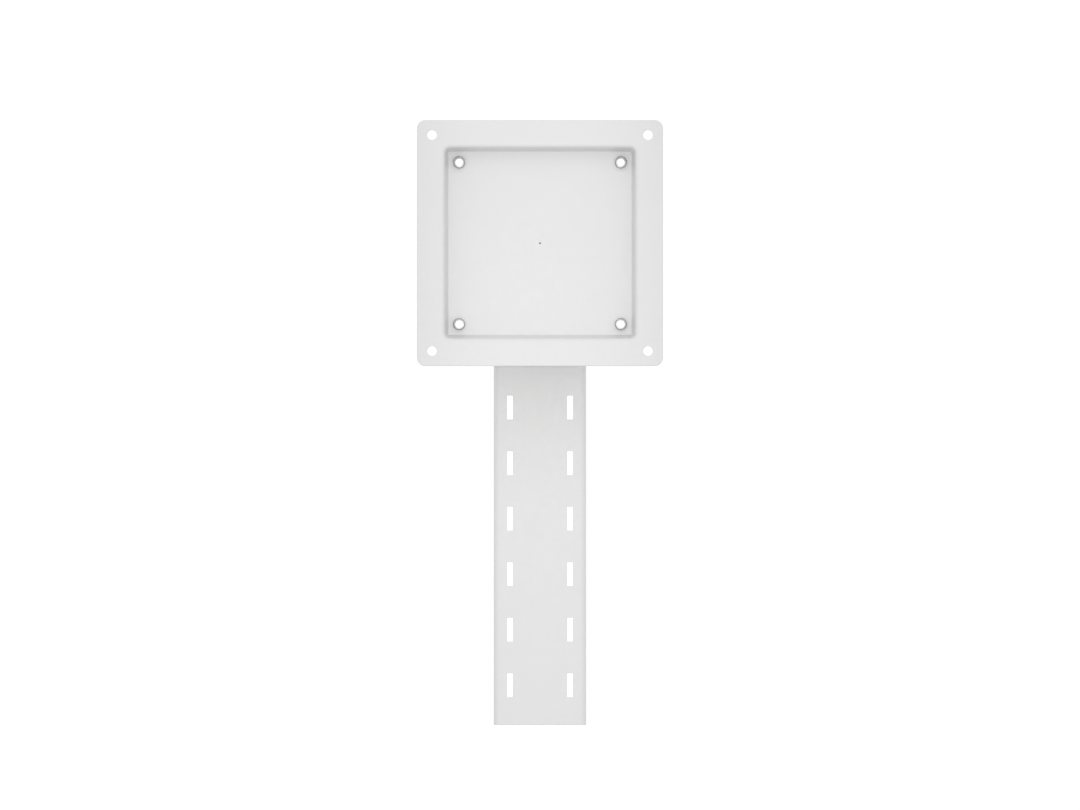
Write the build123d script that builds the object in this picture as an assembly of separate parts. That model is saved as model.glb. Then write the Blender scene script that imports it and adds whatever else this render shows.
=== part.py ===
from build123d import *
import os
from math import cos, pi, radians, tan

os.makedirs("parts", exist_ok=True)

# All sizes are in millimetres. The origin is the middle of the tray's front face.
# The front looks along -Y, +Z is up, and the arm hangs down behind the tray.

# tray: a square pressed plate with a shallow recess
tray_side = 114.0
tray_sheet = 1.5
tray_corner_r = 4.0
recess_floor_side = 85.2
recess_depth = 8.0
recess_draft = 12.3         # degrees that the recess wall leans outwards
recess_floor_corner_r = 1.0
recess_mouth_bend_r = 0.3   # inside radius, at the back, of the bend from flange into wall
recess_floor_bend_r = 0.5   # inside radius, at the front, of the bend from wall into floor
edge_round = 0.35           # the coat rounds every cut edge of the sheet
hole_round = 0.2            # and, less, the rims of holes and slots

# hole patterns
outer_pitch = 100.0
outer_hole_d = 4.5
inner_pitch = 75.0
centre_mark_d = 0.9
centre_mark_depth = 0.5

# threaded collars pressed into the tray floor
collar_d = 5.5
collar_bore_d = 3.7
collar_stand = 2.0          # how far a collar stands in front of the recess floor
collar_head_d = 8.0
collar_head_h = 1.0
collar_fit = 0.05           # radial clearance in the floor hole

# slotted arm: a folded channel, open to the back
arm_width = 43.2
arm_sheet = 2.0
arm_bend_r = 0.4            # inside radius
arm_flange = 20.0
arm_front_y = 38.0
arm_top_z = 36.0
arm_bottom_z = -224.3
slot_width = 2.8
slot_length = 11.2
slot_corner_r = 0.3
slot_side_margin = 7.6      # from the arm's side to the middle of the nearer slot column
slot_pitch = 25.9
slot_rows = 6
slot_end_margin = 18.6      # from the arm's lower end to the middle of the lowest slots

# folded yoke between tray and arm
yoke_sheet = 2.5
yoke_bend_r = 0.5           # inside radius
yoke_height = 64.0
yoke_side_gap = 0.3         # between each yoke leg and the arm's flange
yoke_leg_overlap = 16.0     # how far the legs run back beside the arm
yoke_leg_corner_r = 6.0

# M5 fasteners
thread_d = 5.0
thread_fit = 0.05           # radial clearance between thread and nut
nut_flats = 8.0
nut_h = 4.7
washer_d = 10.0
washer_bore_d = 5.3
washer_h = 1.0
stud_x = 12.0
stud_z = 20.0
stud_length = 11.5
stud_foot_d = 6.0
stud_foot_h = 0.8
stud_hole_d = 6.6
side_screw_back = 9.0       # from the arm's front face
side_screw_z = 20.0
side_screw_length = 12.0
side_hole_d = 5.5
screw_head_d = 9.5
screw_head_h = 2.75
screw_socket_flats = 3.0
screw_socket_depth = 1.6

floor_back_y = recess_depth + tray_sheet
yoke_web_back_y = floor_back_y + yoke_sheet
yoke_inner_half = arm_width / 2 + yoke_side_gap
yoke_outer_half = yoke_inner_half + yoke_sheet
yoke_leg_back_y = arm_front_y + yoke_leg_overlap
side_screw_y = arm_front_y + side_screw_back
slot_columns = arm_width - 2 * slot_side_margin
lowest_slot_z = arm_bottom_z + slot_end_margin


def four(half_x, half_z):
    return [(sx * half_x, sz * half_z) for sx in (-1, 1) for sz in (-1, 1)]


def back_plane(y, x=0.0, z=0.0):
    # sketch plane facing the back: local x along -X, local y along Z
    return Plane(origin=(x, y, z), x_dir=(-1, 0, 0), z_dir=(0, 1, 0))


def disc(y, x, z, d, h):
    return extrude(back_plane(y, x, z) * Circle(d / 2), amount=h)


def rounded_block(y, side_x, side_z, corner, h, taper=0.0):
    return extrude(back_plane(y) * RectangleRounded(side_x, side_z, corner), amount=h, taper=taper)


def rims(shape, wanted):
    # edges whose own box is judged by wanted(box)
    return [edge for edge in shape.edges() if wanted(edge.bounding_box())]


def hole_rims(shape, d):
    return [edge for edge in shape.edges().filter_by(GeomType.CIRCLE) if abs(edge.radius - d / 2) < 1e-3]


def lies_in(low, high, value):
    return abs(low - value) < 1e-3 and abs(high - value) < 1e-3


def edges_near_y(shape, y, within):
    # edges lying in the plane of that Y whose middle is no farther than within from the centre lines
    found = []
    for edge in shape.edges():
        box = edge.bounding_box()
        if abs(box.min.Y - y) < 1e-3 and abs(box.max.Y - y) < 1e-3:
            reach = max(abs(box.min.X), abs(box.max.X), abs(box.min.Z), abs(box.max.Z))
            if within[0] <= reach <= within[1]:
                found.append(edge)
    return found


def make_tray():
    lean = tan(radians(recess_draft))
    wall_shift = tray_sheet / cos(radians(recess_draft))
    mouth_half = recess_floor_side / 2 + recess_depth * lean
    mouth_corner = recess_floor_corner_r + recess_depth * lean
    flange = rounded_block(0, tray_side, tray_side, tray_corner_r, tray_sheet)
    outside = rounded_block(0, 2 * (mouth_half + wall_shift), 2 * (mouth_half + wall_shift),
                            mouth_corner + wall_shift, floor_back_y, recess_draft)
    inside = rounded_block(0, 2 * mouth_half, 2 * mouth_half, mouth_corner, recess_depth, recess_draft)
    tray = flange + outside - inside
    back_reach = mouth_half + wall_shift
    tray = fillet(edges_near_y(tray, 0, (mouth_half - 6, mouth_half + 0.5)),
                  recess_mouth_bend_r + tray_sheet)
    tray = fillet(edges_near_y(tray, floor_back_y, (10, back_reach)), recess_floor_bend_r + tray_sheet)
    tray = fillet(edges_near_y(tray, recess_depth, (10, mouth_half)), recess_floor_bend_r)
    tray = fillet(edges_near_y(tray, tray_sheet, (back_reach - 8, back_reach)),
                  recess_mouth_bend_r)
    tray = fillet(edges_near_y(tray, 0, (tray_side / 2 - 5, tray_side)), edge_round)
    tray = fillet(edges_near_y(tray, tray_sheet, (tray_side / 2 - 5, tray_side)), edge_round)
    for x, z in four(outer_pitch / 2, outer_pitch / 2):
        tray -= disc(-1, x, z, outer_hole_d, tray_sheet + 2)
    tray = fillet(hole_rims(tray, outer_hole_d), hole_round)
    for x, z in four(inner_pitch / 2, inner_pitch / 2):
        tray -= disc(recess_depth - 1, x, z, collar_d + 2 * collar_fit, tray_sheet + 2)
    mark = Cone(0.05, centre_mark_d / 2, centre_mark_depth)
    tray -= Pos(0, recess_depth + centre_mark_depth / 2, 0) * Rot(90, 0, 0) * mark
    return tray


def make_collar(x, z):
    front_y = recess_depth - collar_stand
    collar = disc(front_y, x, z, collar_d, floor_back_y - front_y)
    collar += disc(floor_back_y, x, z, collar_head_d, collar_head_h)
    collar -= disc(-1, x, z, collar_bore_d, floor_back_y + 4)
    front = [e for e in collar.edges() if abs(e.center().Y - front_y) < 1e-3]
    back = [e for e in collar.edges() if abs(e.center().Y - floor_back_y - collar_head_h) < 1e-3]
    return chamfer(front + back, 0.25)


def channel(front_y, half_width, back_y, sheet, bend_r, bottom, top):
    # U section seen from above: web at the front, both flanges running back
    outer = Pos(0, (front_y + back_y) / 2, bottom) * Rectangle(2 * half_width, back_y - front_y)
    inner = Pos(0, (front_y + back_y) / 2 + sheet, bottom) * Rectangle(2 * (half_width - sheet),
                                                                        back_y - front_y)
    section = outer - inner
    outer_corners = [v for v in section.vertices() if abs(v.Y - front_y) < 1e-3]
    section = fillet(outer_corners, bend_r + sheet)
    inner_corners = [v for v in section.vertices()
                     if abs(v.Y - front_y - sheet) < 1e-3 and abs(abs(v.X) - half_width + sheet) < 1e-3]
    section = fillet(inner_corners, bend_r)
    return extrude(section, amount=top - bottom, dir=(0, 0, 1))


def sheet_rims(shape, bottom, top, back_y):
    # both cut ends of a channel and the free edges of its flanges
    return rims(shape, lambda box: lies_in(box.min.Z, box.max.Z, bottom)
                or lies_in(box.min.Z, box.max.Z, top) or lies_in(box.min.Y, box.max.Y, back_y))


def side_holes(half_width):
    holes = []
    for z in (-side_screw_z, side_screw_z):
        holes.append(Pos(0, side_screw_y, z) * Rot(0, 90, 0) * Cylinder(side_hole_d / 2, 2 * half_width + 4))
    return holes


def make_arm():
    arm = channel(arm_front_y, arm_width / 2, arm_front_y + arm_flange, arm_sheet, arm_bend_r,
                  arm_bottom_z, arm_top_z)
    slot = back_plane(arm_front_y - 1) * RectangleRounded(slot_width, slot_length, slot_corner_r)
    cutter = extrude(slot, amount=arm_sheet + 2)
    for row in range(slot_rows):
        for side in (-1, 1):
            arm -= Pos(side * slot_columns / 2, 0, lowest_slot_z + row * slot_pitch) * cutter
    for hole in side_holes(arm_width / 2):
        arm -= hole
    web_back_y = arm_front_y + arm_sheet
    slot_reach = slot_columns / 2 + slot_width
    slots = rims(arm, lambda box: (lies_in(box.min.Y, box.max.Y, arm_front_y)
                                   or lies_in(box.min.Y, box.max.Y, web_back_y))
                 and max(abs(box.min.X), abs(box.max.X)) < slot_reach and box.size.Z < slot_length + 1
                 and box.min.Z > arm_bottom_z + 1 and box.max.Z < arm_top_z - 1)
    arm = fillet(slots + hole_rims(arm, side_hole_d), hole_round)
    return fillet(sheet_rims(arm, arm_bottom_z, arm_top_z, arm_front_y + arm_flange), edge_round)


def make_yoke():
    yoke = channel(floor_back_y, yoke_outer_half, yoke_leg_back_y, yoke_sheet, yoke_bend_r,
                   -yoke_height / 2, yoke_height / 2)
    leg_corners = [e for e in yoke.edges().filter_by(Axis.X)
                   if abs(e.center().Y - yoke_leg_back_y) < 1e-3 and abs(e.center().X) > yoke_inner_half]
    yoke = fillet(leg_corners, yoke_leg_corner_r)
    for x, z in four(stud_x, stud_z):
        yoke -= disc(floor_back_y - 1, x, z, stud_hole_d, yoke_sheet + 2)
    for hole in side_holes(yoke_outer_half):
        yoke -= hole
    yoke = fillet(hole_rims(yoke, stud_hole_d) + hole_rims(yoke, side_hole_d), hole_round)
    leg_arcs = rims(yoke, lambda box: box.size.X < 1e-3 and box.size.Y > yoke_leg_corner_r - 0.01
                    and box.min.Y > yoke_leg_back_y - yoke_leg_corner_r - 0.01)
    ends = sheet_rims(yoke, -yoke_height / 2, yoke_height / 2, yoke_leg_back_y)
    return fillet(ends + [edge for edge in leg_arcs if edge not in ends], edge_round)


def make_stud(x, z):
    stud = disc(floor_back_y, x, z, stud_foot_d, stud_foot_h)
    stud += disc(floor_back_y + stud_foot_h, x, z, thread_d, stud_length - stud_foot_h)
    tip = [e for e in stud.edges() if abs(e.center().Y - floor_back_y - stud_length) < 1e-3]
    return chamfer(tip, 0.6)


# The small pieces are drawn with their axis along +Z from z = 0, then turned into place.
def washer():
    ring = extrude(Circle(washer_d / 2) - Circle(washer_bore_d / 2), amount=washer_h)
    outer_rims = [e for e in ring.edges() if e.length > 0.9 * pi * washer_d]
    return chamfer(outer_rims, 0.15)


def nut():
    # a hexagon whose corners are turned down at both ends, bored to the thread's outside
    flat_r = nut_flats / 2
    reach = flat_r * 1.3
    drop = (reach - flat_r) * 0.5
    profile = Polyline((0, 0), (flat_r, 0), (reach, drop), (reach, nut_h - drop), (flat_r, nut_h),
                       (0, nut_h), (0, 0))
    turned = revolve(Plane.XZ * make_face(profile), axis=Axis.Z)
    body = extrude(RegularPolygon(flat_r, 6, major_radius=False), amount=nut_h) & turned
    return body - Cylinder(thread_d / 2 + thread_fit, 4 * nut_h)


def button_screw():
    head = Pos(0, 0, -screw_head_h / 2) * Cylinder(screw_head_d / 2, screw_head_h)
    head = fillet(head.edges().group_by(Axis.Z)[0], screw_head_h * 0.8)
    socket = extrude(RegularPolygon(screw_socket_flats / 2, 6, major_radius=False),
                     amount=screw_socket_depth)
    shank = extrude(Circle(thread_d / 2), amount=side_screw_length)
    shank = chamfer(shank.edges().group_by(Axis.Z)[-1], 0.6)
    return head - Pos(0, 0, -screw_head_h) * socket + shank


def facing_back(piece, y, places):
    return [Pos(x, y, z) * Rot(-90, 0, 0) * piece for x, z in places]


def facing_in(piece, x):
    # one on each side at both heights, axis pointing to the middle
    placed = []
    for z in (-side_screw_z, side_screw_z):
        placed.append(Pos(x, side_screw_y, z) * Rot(0, -90, 0) * piece)
        placed.append(Pos(-x, side_screw_y, z) * Rot(0, 90, 0) * piece)
    return placed


def save(name, solids):
    shape = solids[0] if len(solids) == 1 else Compound(children=solids)
    shape.label = name
    export_step(shape, f"parts/{name}.step")
    box = shape.bounding_box()
    print(name, len(solids), round(sum(s.volume for s in solids) / 1000, 2), "cm3",
          [round(v, 1) for v in (box.min.X, box.min.Y, box.min.Z, box.max.X, box.max.Y, box.max.Z)])


stud_places = four(stud_x, stud_z)
collar_places = four(inner_pitch / 2, inner_pitch / 2)
inside_flange = arm_width / 2 - arm_sheet

save("tray_plate", [make_tray()])
save("threaded_collars", [make_collar(x, z) for x, z in collar_places])
save("weld_studs", [make_stud(x, z) for x, z in stud_places])
save("yoke_bracket", [make_yoke()])
save("stud_washers", facing_back(washer(), yoke_web_back_y, stud_places))
save("stud_nuts", facing_back(nut(), yoke_web_back_y + washer_h, stud_places))
save("slotted_arm", [make_arm()])
save("side_screws", facing_in(button_screw(), yoke_outer_half))
save("side_washers", facing_in(washer(), inside_flange))
save("side_nuts", facing_in(nut(), inside_flange - washer_h))
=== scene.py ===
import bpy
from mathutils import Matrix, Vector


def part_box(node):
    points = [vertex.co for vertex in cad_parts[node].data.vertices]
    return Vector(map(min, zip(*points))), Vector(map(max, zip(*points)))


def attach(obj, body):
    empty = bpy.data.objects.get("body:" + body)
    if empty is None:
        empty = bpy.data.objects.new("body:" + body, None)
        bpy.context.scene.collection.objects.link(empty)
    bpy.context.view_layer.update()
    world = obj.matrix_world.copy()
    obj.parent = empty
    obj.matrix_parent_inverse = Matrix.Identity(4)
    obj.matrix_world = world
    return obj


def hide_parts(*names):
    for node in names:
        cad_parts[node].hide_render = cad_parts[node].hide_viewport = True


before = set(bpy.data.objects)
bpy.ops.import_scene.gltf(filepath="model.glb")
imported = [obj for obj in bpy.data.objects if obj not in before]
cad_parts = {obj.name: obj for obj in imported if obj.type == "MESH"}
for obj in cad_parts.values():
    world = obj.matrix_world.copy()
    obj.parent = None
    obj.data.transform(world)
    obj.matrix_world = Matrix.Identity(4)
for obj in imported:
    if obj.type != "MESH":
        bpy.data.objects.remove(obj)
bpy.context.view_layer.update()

import math

import bmesh
import bpy
from mathutils import Vector

mm = 0.001
noiseLow, noiseHigh = 0.3, 0.7      # where nearly all values of a noise texture lie
tintLow, tintHigh = 0.35, 0.68      # and where a metal's two tints begin to mix and have mixed


# On a colour Mix node, sockets 0, 6 and 7 are the share and the two colours, and output 2 is the result.
def addNode(tree, kind, values=None, links=None, **settings):
    node = tree.nodes.new(kind)
    for name, value in settings.items():
        setattr(node, name, value)
    for socket, value in (values or {}).items():
        node.inputs[socket].default_value = value
    for socket, source in (links or {}).items():
        tree.links.new(source, node.inputs[socket])
    return node


def linearColour(hexText):
    channels = [int(hexText[i:i + 2], 16) / 255 for i in (1, 3, 5)]
    linear = [c / 12.92 if c <= 0.04045 else ((c + 0.055) / 1.055) ** 2.4 for c in channels]
    return linear + [1.0]


def newMaterial(name):
    material = bpy.data.materials.new(name)
    material.use_nodes = True
    tree = material.node_tree
    tree.nodes.clear()
    shader = addNode(tree, "ShaderNodeBsdfPrincipled")
    addNode(tree, "ShaderNodeOutputMaterial", links={"Surface": shader.outputs["BSDF"]})
    return material, tree, shader


powderCoat = {
    "light": "#DCDCDC",     # two near whites, for the thick and the thin of the coat
    "shade": "#D7D7D7",
    "roughness": 0.46,
    "roughnessSpread": 0.04,
    "peelMm": 1.7,          # orange peel, real waves are about 1 mm and would be lost at this size
    "peelHeightMm": 0.004,
    "grainMm": 0.55,        # powder grain, drawn coarser than its real 0.1 mm so that it shows
    "grainHeightMm": 0.002,
    "cloudMm": 38.0,        # slow drift in coat thickness
    "cloudShare": 0.65,     # of the colour's drift, the grain has the rest
    "mark": "#7C7C7C",      # painted shade of the small punch mark at the middle of the tray, a dark disc in place of the shade in its hollow
    "markMm": 0.5,          # its radius
    "ior": 1.5,             # polyester
}


def makePowderCoat(name, offset, marked):
    # polyester powder coat on steel: satin white with a faint orange peel and no streaks
    material, tree, shader = newMaterial(name)
    place = addNode(tree, "ShaderNodeTexCoord").outputs["Object"]
    mapping = addNode(tree, "ShaderNodeMapping", {"Location": offset}, {"Vector": place})
    moved = mapping.outputs["Vector"]
    peel = addNode(tree, "ShaderNodeTexNoise",
                   {"Scale": 1 / (powderCoat["peelMm"] * mm), "Detail": 1.0, "Roughness": 0.4},
                   {"Vector": moved})
    grain = addNode(tree, "ShaderNodeTexNoise",
                    {"Scale": 1 / (powderCoat["grainMm"] * mm), "Detail": 2.0, "Roughness": 0.6},
                    {"Vector": moved})
    cloud = addNode(tree, "ShaderNodeTexNoise",
                    {"Scale": 1 / (powderCoat["cloudMm"] * mm), "Detail": 3.0, "Roughness": 0.5},
                    {"Vector": moved})
    tone = addNode(tree, "ShaderNodeMath", {1: powderCoat["cloudShare"]}, {0: cloud.outputs["Fac"]},
                   operation="MULTIPLY")
    speck = addNode(tree, "ShaderNodeMath", {1: 1 - powderCoat["cloudShare"]},
                    {0: grain.outputs["Fac"], 2: tone.outputs[0]}, operation="MULTIPLY_ADD")
    colour = addNode(tree, "ShaderNodeMix",
                     {6: linearColour(powderCoat["shade"]), 7: linearColour(powderCoat["light"])},
                     {0: speck.outputs[0]}, data_type="RGBA")
    if marked:
        # distance from the tray's middle line, whatever the depth
        flat = addNode(tree, "ShaderNodeVectorMath", {1: (1, 0, 1)}, {0: place}, operation="MULTIPLY")
        reach = addNode(tree, "ShaderNodeVectorMath", links={0: flat.outputs[0]}, operation="LENGTH")
        inPunchShade = addNode(tree, "ShaderNodeMapRange",
                         {"From Min": powderCoat["markMm"] * mm,
                          "From Max": powderCoat["markMm"] * 0.6 * mm},
                         {"Value": reach.outputs["Value"]})
        # painted shade: the punch mark is a dark disc of this colour on the flat coat, not a hollow that
        # holds shade
        colour = addNode(tree, "ShaderNodeMix", {7: linearColour(powderCoat["mark"])},
                         {0: inPunchShade.outputs["Result"], 6: colour.outputs[2]}, data_type="RGBA")
    tree.links.new(colour.outputs[2], shader.inputs["Base Color"])
    gloss = addNode(tree, "ShaderNodeMapRange",
                    {"From Min": noiseLow, "From Max": noiseHigh,
                     "To Min": powderCoat["roughness"] - powderCoat["roughnessSpread"],
                     "To Max": powderCoat["roughness"] + powderCoat["roughnessSpread"]},
                    {"Value": peel.outputs["Fac"]})
    tree.links.new(gloss.outputs["Result"], shader.inputs["Roughness"])
    fine = addNode(tree, "ShaderNodeBump",
                   {"Strength": 1.0, "Distance": powderCoat["grainHeightMm"] * mm},
                   {"Height": grain.outputs["Fac"]})
    waves = addNode(tree, "ShaderNodeBump",
                    {"Strength": 1.0, "Distance": powderCoat["peelHeightMm"] * mm},
                    {"Height": peel.outputs["Fac"], "Normal": fine.outputs["Normal"]})
    tree.links.new(waves.outputs["Normal"], shader.inputs["Normal"])
    shader.inputs["IOR"].default_value = powderCoat["ior"]
    return material


# the offsets keep the three sheets from showing the same clouds
coatOffsets = {
    "tray_plate": (0, 0, 0),
    "slotted_arm": (0.31, 0.17, 0.05),
    "yoke_bracket": (0.12, 0.4, 0.21),
}
for nodeName, offset in coatOffsets.items():
    coat = makePowderCoat("whitePowderCoat_" + nodeName, offset, marked=nodeName == "tray_plate")
    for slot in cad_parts[nodeName].material_slots:
        slot.material = coat
print("powder coat done")

zincPlate = {
    "cool": "#C3C7CD",      # bluish clear passivation
    "warm": "#CAC8C2",      # and its faint straw tint
    "roughness": 0.34,
    "roughnessSpread": 0.10,
    "cloudMm": 5.0,         # patches of tint
    "grainMm": 0.35,        # crystals of the zinc, drawn coarser than their real 0.05 mm so that they show
    "grainHeightMm": 0.004,
}
collarSteel = {
    "cool": "#AAACAE",      # bright turned steel
    "warm": "#A2A19F",      # with a thin film of oil
    "roughness": 0.38,
    "roughnessSpread": 0.08,
    "cloudMm": 3.0,
    "grainMm": 0.30,        # tool marks, drawn coarser than their real 0.1 mm
    "grainHeightMm": 0.004,
}


def makeMetal(name, look):
    # turned or zinc plated steel: a grey mirror softened by fine grain, with slow patches of tint
    material, tree, shader = newMaterial(name)
    place = addNode(tree, "ShaderNodeTexCoord").outputs["Object"]
    cloud = addNode(tree, "ShaderNodeTexNoise", {"Scale": 1 / (look["cloudMm"] * mm), "Detail": 3.0},
                    {"Vector": place})
    grain = addNode(tree, "ShaderNodeTexNoise", {"Scale": 1 / (look["grainMm"] * mm), "Detail": 3.0},
                    {"Vector": place})
    tint = addNode(tree, "ShaderNodeValToRGB", links={"Fac": cloud.outputs["Fac"]})
    tint.color_ramp.elements[0].position = tintLow
    tint.color_ramp.elements[0].color = linearColour(look["cool"])
    tint.color_ramp.elements[1].position = tintHigh
    tint.color_ramp.elements[1].color = linearColour(look["warm"])
    tree.links.new(tint.outputs["Color"], shader.inputs["Base Color"])
    gloss = addNode(tree, "ShaderNodeMapRange",
                    {"From Min": noiseLow, "From Max": noiseHigh,
                     "To Min": look["roughness"] - look["roughnessSpread"],
                     "To Max": look["roughness"] + look["roughnessSpread"]},
                    {"Value": grain.outputs["Fac"]})
    tree.links.new(gloss.outputs["Result"], shader.inputs["Roughness"])
    bump = addNode(tree, "ShaderNodeBump", {"Strength": 1.0, "Distance": look["grainHeightMm"] * mm},
                   {"Height": grain.outputs["Fac"]})
    tree.links.new(bump.outputs["Normal"], shader.inputs["Normal"])
    shader.inputs["Metallic"].default_value = 1.0
    return material


zincMaterial = makeMetal("clearZincPlate", zincPlate)
collarMaterial = makeMetal("turnedSteel", collarSteel)
for nodeName in ("stud_washers", "stud_nuts", "side_washers", "side_nuts"):
    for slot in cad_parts[nodeName].material_slots:
        slot.material = zincMaterial
print("metals done")


def turnedMesh(name, rings, segments=48, closed=False):
    # rings are (radius mm, height mm, thread weight, hexagon or not), with the axis along +Z;
    # a hexagon's radius is to its flats
    shape = bmesh.new()
    weight = shape.verts.layers.float.new("threadWeight")
    loops = []
    for radius, height, threadShare, hexagon in rings:
        loop = []
        for i in range(segments):
            angle = 2 * math.pi * i / segments
            toFlat = (angle + math.pi / 6) % (math.pi / 3) - math.pi / 6
            reach = (radius / math.cos(toFlat) if hexagon else radius) * mm
            vert = shape.verts.new((reach * math.cos(angle), reach * math.sin(angle), height * mm))
            vert[weight] = threadShare
            loop.append(vert)
        loops.append(loop)
    pairs = list(zip(loops, loops[1:])) + ([(loops[-1], loops[0])] if closed else [])
    for low, high in pairs:
        for i in range(segments):
            j = (i + 1) % segments
            shape.faces.new((low[i], low[j], high[j], high[i]))
    if not closed:
        shape.faces.new(list(reversed(loops[0])))
        shape.faces.new(loops[-1])
    bmesh.ops.recalc_face_normals(shape, faces=shape.faces)
    mesh = bpy.data.meshes.new(name)
    shape.to_mesh(mesh)
    shape.free()
    return mesh


def threadRings(radius, start, end, pitch, runOut, ringsPerTurn=12):
    # rings close enough to carry the thread, which fades in and out over runOut
    count = int((end - start) / pitch * ringsPerTurn)
    rings = []
    for i in range(count + 1):
        height = start + (end - start) * i / count
        share = min(1.0, (height - start) / runOut, (end - height) / runOut)
        rings.append((radius, height, max(0.0, share), False))
    return rings


def threadTree():
    # cuts a helix into the weighted rings, then sets the piece at the four corners of a rectangle
    tree = bpy.data.node_groups.new("threadAndPlace", "GeometryNodeTree")
    face = tree.interface
    face.new_socket("Geometry", in_out="INPUT", socket_type="NodeSocketGeometry")
    for label in ("Pitch", "Depth", "Span X", "Span Z", "Plane Y"):
        face.new_socket(label, in_out="INPUT", socket_type="NodeSocketFloat")
    for label in ("Turn", "Side Turn"):
        face.new_socket(label, in_out="INPUT", socket_type="NodeSocketVector")
    face.new_socket("Finish", in_out="INPUT", socket_type="NodeSocketMaterial")
    face.new_socket("Geometry", in_out="OUTPUT", socket_type="NodeSocketGeometry")
    given = addNode(tree, "NodeGroupInput").outputs
    position = addNode(tree, "GeometryNodeInputPosition").outputs["Position"]
    part = addNode(tree, "ShaderNodeSeparateXYZ", links={"Vector": position}).outputs
    share = addNode(tree, "GeometryNodeInputNamedAttribute", {"Name": "threadWeight"}, data_type="FLOAT")

    # how far a point lies along its turn of the helix, from 0 to 1
    turns = addNode(tree, "ShaderNodeMath", links={0: part["Z"], 1: given["Pitch"]}, operation="DIVIDE")
    angle = addNode(tree, "ShaderNodeMath", links={0: part["Y"], 1: part["X"]}, operation="ARCTAN2")
    around = addNode(tree, "ShaderNodeMath", {1: 2 * math.pi}, {0: angle.outputs[0]}, operation="DIVIDE")
    along = addNode(tree, "ShaderNodeMath", links={0: turns.outputs[0], 1: around.outputs[0]},
                    operation="SUBTRACT")
    phase = addNode(tree, "ShaderNodeMath", links={0: along.outputs[0]}, operation="FRACT")

    # a 60 degree vee with its flat crest
    slope = addNode(tree, "ShaderNodeMath", {1: 2.0, 2: -1.0}, {0: phase.outputs[0]},
                    operation="MULTIPLY_ADD")
    groove = addNode(tree, "ShaderNodeMath", links={0: slope.outputs[0]}, operation="ABSOLUTE")
    steep = addNode(tree, "ShaderNodeMath", {1: 1.15}, {0: groove.outputs[0]}, operation="MULTIPLY")
    crest = addNode(tree, "ShaderNodeMath", {1: 1.0}, {0: steep.outputs[0]}, operation="MINIMUM")
    deep = addNode(tree, "ShaderNodeMath", links={0: crest.outputs[0], 1: given["Depth"]},
                   operation="MULTIPLY")
    cut = addNode(tree, "ShaderNodeMath", links={0: deep.outputs[0], 1: share.outputs["Attribute"]},
                  operation="MULTIPLY")
    outwards = addNode(tree, "ShaderNodeCombineXYZ", links={"X": part["X"], "Y": part["Y"]})
    unit = addNode(tree, "ShaderNodeVectorMath", links={0: outwards.outputs[0]}, operation="NORMALIZE")
    shift = addNode(tree, "ShaderNodeVectorMath", links={0: unit.outputs[0], "Scale": cut.outputs[0]},
                    operation="SCALE")
    threaded = addNode(tree, "GeometryNodeSetPosition",
                       links={"Geometry": given["Geometry"], "Offset": shift.outputs[0]})

    corners = addNode(tree, "GeometryNodeMeshGrid", {"Vertices X": 2, "Vertices Y": 2},
                      {"Size X": given["Span X"], "Size Y": given["Span Z"]})
    stand = addNode(tree, "ShaderNodeCombineXYZ", links={"Y": given["Plane Y"]})
    upright = addNode(tree, "GeometryNodeTransform", {"Rotation": (math.pi / 2, 0, 0)},
                      {"Geometry": corners.outputs["Mesh"], "Translation": stand.outputs[0]})
    # pieces on the right and left face opposite ways
    side = addNode(tree, "ShaderNodeMath", links={0: part["X"]}, operation="SIGN")
    sideTurn = addNode(tree, "ShaderNodeVectorMath",
                       links={0: given["Side Turn"], "Scale": side.outputs[0]}, operation="SCALE")
    turn = addNode(tree, "ShaderNodeVectorMath", links={0: given["Turn"], 1: sideTurn.outputs[0]},
                   operation="ADD")
    placed = addNode(tree, "GeometryNodeInstanceOnPoints",
                     links={"Points": upright.outputs["Geometry"],
                            "Instance": threaded.outputs["Geometry"], "Rotation": turn.outputs[0]})
    whole = addNode(tree, "GeometryNodeRealizeInstances", links={"Geometry": placed.outputs["Instances"]})
    finished = addNode(tree, "GeometryNodeSetMaterial",
                       links={"Geometry": whole.outputs["Geometry"], "Material": given["Finish"]})
    addNode(tree, "NodeGroupOutput", links={"Geometry": finished.outputs["Geometry"]})
    return tree


placeTree = threadTree()


def placePieces(name, mesh, cadNode, sizes, finish):
    source = bpy.data.objects.new(name + "Source", mesh)
    bpy.context.scene.collection.objects.link(source)
    modifier = source.modifiers.new("place", "NODES")
    modifier.node_group = placeTree
    given = {**sizes, "Finish": finish}
    for item in placeTree.interface.items_tree:
        if item.in_out == "INPUT" and item.name in given:
            modifier[item.identifier] = given[item.name]
    evaluated = source.evaluated_get(bpy.context.evaluated_depsgraph_get())
    result = bpy.data.meshes.new_from_object(evaluated)
    bpy.data.objects.remove(source)
    result.name = name
    piece = bpy.data.objects.new(name, result)
    bpy.context.scene.collection.objects.link(piece)
    result.shade_smooth()
    result.set_sharp_from_angle(angle=math.radians(32))     # keeps the thread soft and the rims crisp
    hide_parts(cadNode)
    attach(piece, "root")


toBack = (-math.pi / 2, 0, 0)       # turns a piece from +Z to +Y
noTurn = (0, 0, 0)

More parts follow.
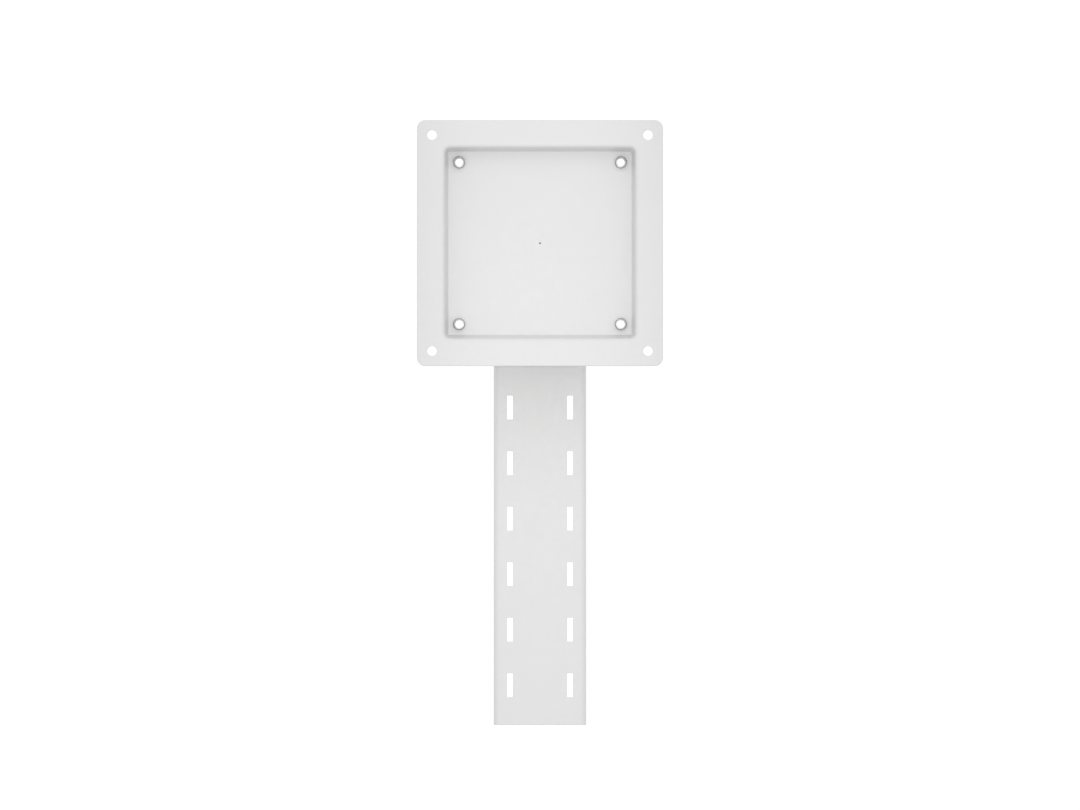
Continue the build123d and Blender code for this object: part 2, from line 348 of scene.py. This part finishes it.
# millimetres; a thread's depth is outwards from its wall, so it is negative on a screw
collar = {
    "radius": 2.75,
    "bore": 1.85,
    "pitch": 0.7,
    "depth": 0.3,
    "runOut": 0.3,
    "headRadius": 4.0,
    "headHeight": 1.0,
    "edge": 0.45,           # turned-down outer edges
    "boreEdge": 0.12,       # lead-in of the thread
}
low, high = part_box("threaded_collars")
length = (high[1] - low[1]) / mm
collarSpan = high[0] - low[0] - 2 * collar["headRadius"] * mm
collarRings = threadRings(collar["bore"], collar["boreEdge"], length - collar["boreEdge"],
                          collar["pitch"], collar["runOut"])
collarRings += [
    (collar["bore"] + collar["boreEdge"], length, 0, False),
    (collar["headRadius"] - collar["edge"], length, 0, False),
    (collar["headRadius"], length - collar["edge"], 0, False),
    (collar["headRadius"], length - collar["headHeight"], 0, False),
    (collar["radius"], length - collar["headHeight"], 0, False),
    (collar["radius"], collar["edge"], 0, False),
    (collar["radius"] - collar["edge"] * 0.3, collar["edge"] * 0.3, 0, False),
    (collar["radius"] - collar["edge"], 0, 0, False),
    (collar["bore"] + collar["boreEdge"], 0, 0, False),
]
placePieces("threadedCollars", turnedMesh("collar", collarRings, closed=True), "threaded_collars",
            {"Pitch": collar["pitch"] * mm, "Depth": collar["depth"] * mm,
             "Span X": collarSpan, "Span Z": collarSpan, "Plane Y": low[1],
             "Turn": toBack, "Side Turn": noTurn}, collarMaterial)

stud = {
    "radius": 2.5,
    "pitch": 0.8,
    "depth": -0.43,
    "runOut": 0.5,
    "footRadius": 3.0,
    "footHeight": 0.8,
    "footEdge": 0.15,
    "tip": 0.6,
}
low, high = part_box("weld_studs")
length = (high[1] - low[1]) / mm
studRings = [
    (stud["footRadius"], 0, 0, False),
    (stud["footRadius"], stud["footHeight"] - stud["footEdge"], 0, False),
    (stud["footRadius"] - stud["footEdge"], stud["footHeight"], 0, False),
    (stud["radius"] + 0.1, stud["footHeight"], 0, False),
]
studRings += threadRings(stud["radius"], stud["footHeight"] + 0.1, length - stud["tip"] * 0.6,
                         stud["pitch"], stud["runOut"])
studRings += [(stud["radius"] - stud["tip"], length, 0, False)]
placePieces("weldStuds", turnedMesh("stud", studRings), "weld_studs",
            {"Pitch": stud["pitch"] * mm, "Depth": stud["depth"] * mm,
             "Span X": high[0] - low[0] - 2 * stud["footRadius"] * mm,
             "Span Z": high[2] - low[2] - 2 * stud["footRadius"] * mm, "Plane Y": low[1],
             "Turn": toBack, "Side Turn": noTurn}, zincMaterial)

screw = {
    "radius": 2.5,
    "pitch": 0.8,
    "depth": -0.43,
    "runOut": 0.5,
    "headRadius": 4.75,
    "headHeight": 2.75,
    "socketFlat": 1.5,      # half the hexagon's width across flats
    "socketDepth": 1.6,
    "dome": 2.2,            # radius that rounds the head
    "domeSteps": 10,
    "edge": 0.12,
    "length": 12.0,
    "tip": 0.6,
}
low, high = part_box("side_screws")
headTop = -screw["headHeight"]      # the head lies below z = 0 and the shank above it
socketFloor = headTop + screw["socketDepth"]
screwRings = [
    (0.25, socketFloor + 0.35, 0, False),       # the drill's cone under the socket
    (screw["socketFlat"] * 0.97, socketFloor, 0, True),
    (screw["socketFlat"], socketFloor - 0.05, 0, True),
    (screw["socketFlat"], headTop + screw["edge"], 0, True),
    (screw["socketFlat"] + screw["edge"], headTop, 0, True),
]
for i in range(screw["domeSteps"] + 1):
    angle = math.pi / 2 * i / screw["domeSteps"]
    screwRings.append((screw["headRadius"] - screw["dome"] * (1 - math.sin(angle)),
                       headTop + screw["dome"] * (1 - math.cos(angle)), 0, False))
screwRings += [
    (screw["headRadius"], -screw["edge"], 0, False),
    (screw["headRadius"] - screw["edge"], 0, 0, False),
    (screw["radius"] + 0.05, 0, 0, False),
]
screwRings += threadRings(screw["radius"], 0.2, screw["length"] - screw["tip"] * 0.6, screw["pitch"],
                          screw["runOut"])
screwRings += [(screw["radius"] - screw["tip"], screw["length"], 0, False)]
placePieces("sideScrews", turnedMesh("screw", screwRings), "side_screws",
            {"Pitch": screw["pitch"] * mm, "Depth": screw["depth"] * mm,
             "Span X": high[0] - low[0] - 2 * screw["headHeight"] * mm,
             "Span Z": high[2] - low[2] - 2 * screw["headRadius"] * mm,
             "Plane Y": (low[1] + high[1]) / 2,
             "Turn": noTurn, "Side Turn": (0, -math.pi / 2, 0)}, zincMaterial)     # heads face outwards
print("screws, studs and collars done")

view = {
    "distance": 5.0,
    "below": 0.075,         # the camera looks at the arm's root, 75 mm under the tray's middle
    "widthSeen": 0.5,       # at the tray's front face
    "sensorMm": 36,
}
cameraData = bpy.data.cameras.new("camera")
cameraData.sensor_width = view["sensorMm"]
cameraData.lens = view["sensorMm"] * view["distance"] / view["widthSeen"]
camera = bpy.data.objects.new("camera", cameraData)
camera.location = (0, -view["distance"], -view["below"])
camera.rotation_euler = (math.pi / 2, 0, 0)
bpy.context.scene.collection.objects.link(camera)
bpy.context.scene.camera = camera
print("camera done")

room = {
    "allRound": 0.92,       # even light from the white room
    "backdrop": 1.05,       # what the camera itself sees as the white behind the bracket
}
world = bpy.data.worlds.new("studio")
bpy.context.scene.world = world
world.use_nodes = True
sky = world.node_tree
sky.nodes.clear()
path = addNode(sky, "ShaderNodeLightPath")
seen = addNode(sky, "ShaderNodeMix", {2: room["allRound"], 3: room["backdrop"]},
               {0: path.outputs["Is Camera Ray"]}, data_type="FLOAT")
softSky = addNode(sky, "ShaderNodeBackground", {"Color": (1, 1, 1, 1)}, {"Strength": seen.outputs[0]})
addNode(sky, "ShaderNodeOutputWorld", links={"Surface": softSky.outputs[0]})

# small oval spot, for the dark bends and walls, which fades out to the tray's sides
spot = {
    "watts": 4.3,
    "radius": 0.028,        # of the lamp itself
    "distance": 0.7,
    "below": 0.065,         # just under the tray's lower edge, so that no shadow falls on the arm
    "halfWidth": 0.115,     # of its oval, at the tray
    "halfHeight": 0.6,
}
spotData = bpy.data.lights.new("frontSpot", "SPOT")
spotData.energy = spot["watts"]
spotData.shadow_soft_size = spot["radius"]
spotData.spot_size = 2 * math.atan(spot["halfHeight"] / spot["distance"])
spotData.spot_blend = 1.0
frontSpot = bpy.data.objects.new("frontSpot", spotData)
frontSpot.location = (0, -spot["distance"], -spot["below"])
frontSpot.rotation_euler = (math.pi / 2, 0, 0)
frontSpot.scale = (spot["halfWidth"] / spot["halfHeight"], 1, 1)
bpy.context.scene.collection.objects.link(frontSpot)

# name: width, height, watts, place, and the point that it faces
softboxes = {
    "upperSoftbox": (0.6, 0.6, 0.65, (0, -0.8, 0.8), (0, 0, 0)),
    "nearStrip": (0.05, 0.8, 0.05, (0, -0.18, -0.075), (0, 0, -0.075)),     # brightens the middle
    "backSoftbox": (0.5, 0.8, 3.0, (-0.8, 1.1, 0.45), (0, 0.04, -0.06)),    # for the yoke and the back
    "backFill": (0.5, 0.8, 1.5, (0.9, 0.9, 0.1), (0, 0.04, -0.06)),         # weaker, the other side
}
for name, (width, height, watts, place, target) in softboxes.items():
    data = bpy.data.lights.new(name, "AREA")
    data.shape = "RECTANGLE"
    data.size = width
    data.size_y = height
    data.energy = watts
    lamp = bpy.data.objects.new(name, data)
    lamp.location = place
    lamp.rotation_euler = (Vector(target) - Vector(place)).to_track_quat("-Z", "Y").to_euler()
    bpy.context.scene.collection.objects.link(lamp)
print("lights done")

floor = {
    "radius": 4.0,
    "drop": 0.45,           # below the tray's middle
    "light": "#DADAD9",
    "shade": "#D3D3D2",
    "roughness": 0.8,
    "fibreMm": 3.0,         # mottle, drawn coarser than real paper's so that it shows
    "fibreHeightMm": 0.02,
}
floorShape = bmesh.new()
bmesh.ops.create_circle(floorShape, cap_ends=True, segments=96, radius=floor["radius"])
floorMesh = bpy.data.meshes.new("studioFloor")
floorShape.to_mesh(floorMesh)
floorShape.free()
studioFloor = bpy.data.objects.new("studioFloor", floorMesh)
studioFloor.location = (0, 0, -floor["drop"])
# matt seamless paper: near white, with the slight mottle of its fibres
paper, paperTree, paperShader = newMaterial("seamlessPaper")
place = addNode(paperTree, "ShaderNodeTexCoord").outputs["Object"]
fibre = addNode(paperTree, "ShaderNodeTexNoise", {"Scale": 1 / (floor["fibreMm"] * mm), "Detail": 4.0},
                {"Vector": place})
mottle = addNode(paperTree, "ShaderNodeMix",
                 {6: linearColour(floor["shade"]), 7: linearColour(floor["light"])},
                 {0: fibre.outputs["Fac"]}, data_type="RGBA")
tooth = addNode(paperTree, "ShaderNodeBump", {"Strength": 1.0, "Distance": floor["fibreHeightMm"] * mm},
                {"Height": fibre.outputs["Fac"]})
paperTree.links.new(mottle.outputs[2], paperShader.inputs["Base Color"])
paperTree.links.new(tooth.outputs["Normal"], paperShader.inputs["Normal"])
paperShader.inputs["Roughness"].default_value = floor["roughness"]
floorMesh.materials.append(paper)
bpy.context.scene.collection.objects.link(studioFloor)
print("floor done")

bpy.context.scene.view_settings.view_transform = "Standard"
